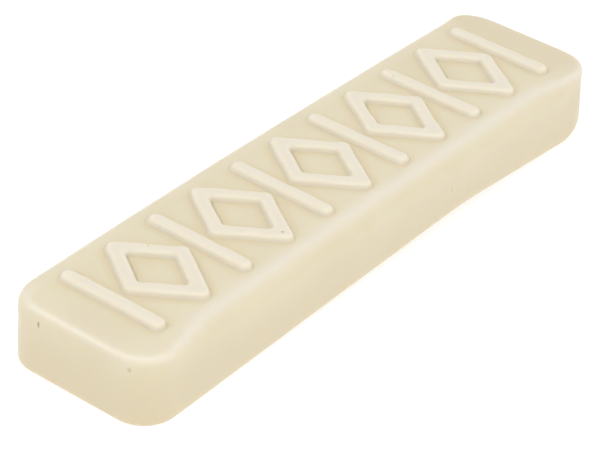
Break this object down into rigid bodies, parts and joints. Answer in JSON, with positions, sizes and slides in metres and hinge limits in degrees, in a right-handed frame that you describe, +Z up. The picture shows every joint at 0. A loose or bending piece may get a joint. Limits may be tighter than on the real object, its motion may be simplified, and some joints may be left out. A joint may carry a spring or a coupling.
{
  "type": "wax bar",
  "caption": "Cast bar of filler wax with rounded corners, an arched underside and a raised pattern of cross bars and lozenges on top.",
  "frame": {"origin": "middle of the plane that the bar rests on", "axes": "+X along the bar's length, towards the end nearer the ridge of its arched underside; +Z up, out of the face with the raised pattern"},
  "size_m": [0.125, 0.031, 0.0148],
  "materials": {
    "wax": "satin, slightly translucent cream wax"
  },
  "bodies": {
    "root": {"wax_bar": "wax"}
  },
  "joints": []
}
